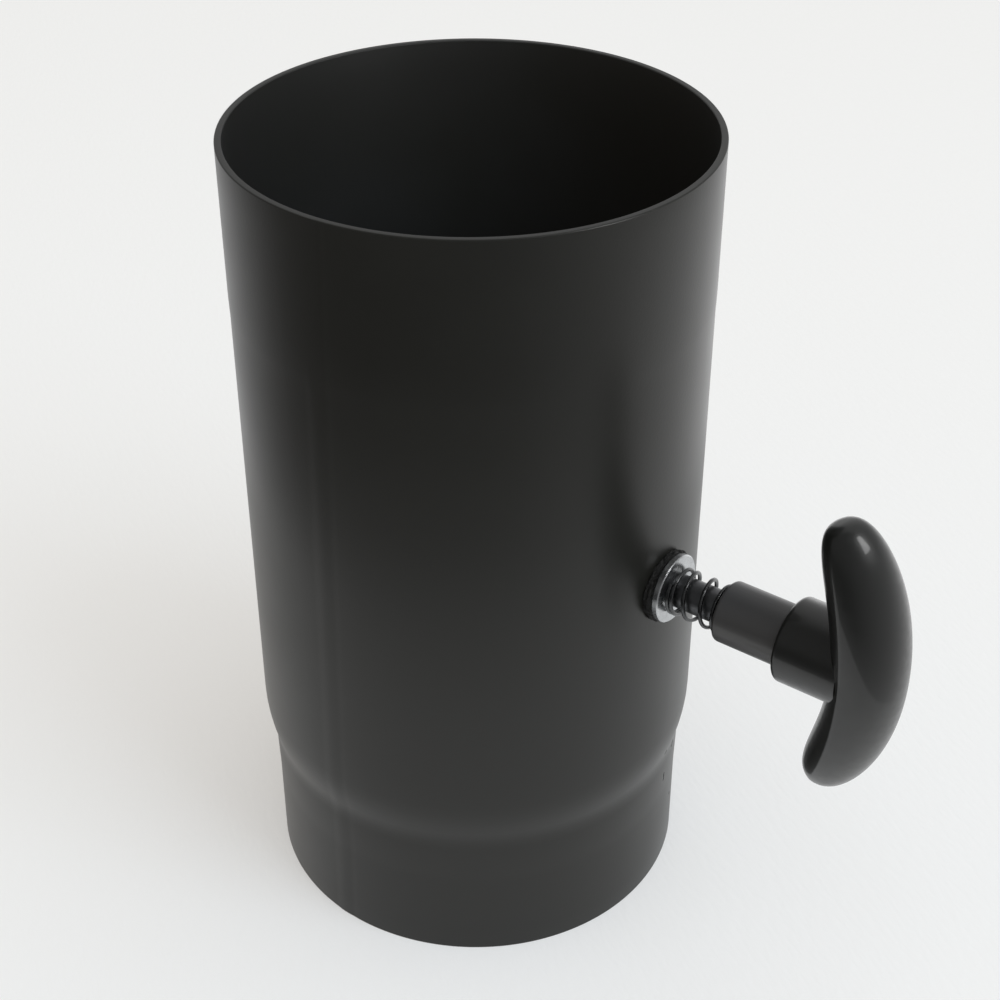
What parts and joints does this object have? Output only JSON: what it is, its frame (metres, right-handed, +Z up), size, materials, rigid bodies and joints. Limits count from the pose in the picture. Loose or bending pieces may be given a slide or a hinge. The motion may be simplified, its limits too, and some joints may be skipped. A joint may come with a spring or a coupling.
{
  "type": "stove pipe damper",
  "caption": "Black steel flue pipe with a swaged spigot and a round damper plate on a sprung cross spindle, turned by a crescent handle.",
  "frame": {"origin": "centre of the spigot's lower end, on the pipe's axis", "axes": "+Z up the flue, out of the socket; +X along the spindle, towards the handle"},
  "size_m": [0.2198, 0.1394, 0.25],
  "materials": {
    "stove_paint": "satin black heat resistant paint on steel",
    "fibre_seal": "matt black graphite fibre",
    "zinc_steel": "bright zinc plated steel",
    "bar_steel": "dark drawn steel bar",
    "plate_steel": "satin black heat resistant paint on steel",
    "spring_steel": "dark spring wire",
    "sleeve_plastic": "matt black moulded sleeve",
    "phenolic": "glossy black phenolic moulding",
    "brass": "turned brass"
  },
  "bodies": {
    "flue": {"flue_pipe": "stove_paint", "spindle_seal": "fibre_seal", "outer_washer": "zinc_steel"},
    "damper": {"spindle": "bar_steel", "damper_plate": "plate_steel", "plate_screws": "zinc_steel", "lock_washers": "zinc_steel", "thrust_washer": "zinc_steel", "stop_pin": "spring_steel", "spring": "spring_steel", "sleeve": "sleeve_plastic", "handle": "phenolic", "handle_insert": "brass"}
  },
  "joints": [
    {"name": "damper_turn", "type": "hinge", "parent": "flue", "child": "damper", "pos_m": [0, 0, 0.126], "axis": [1, 0, 0], "continuous": true}
  ]
}
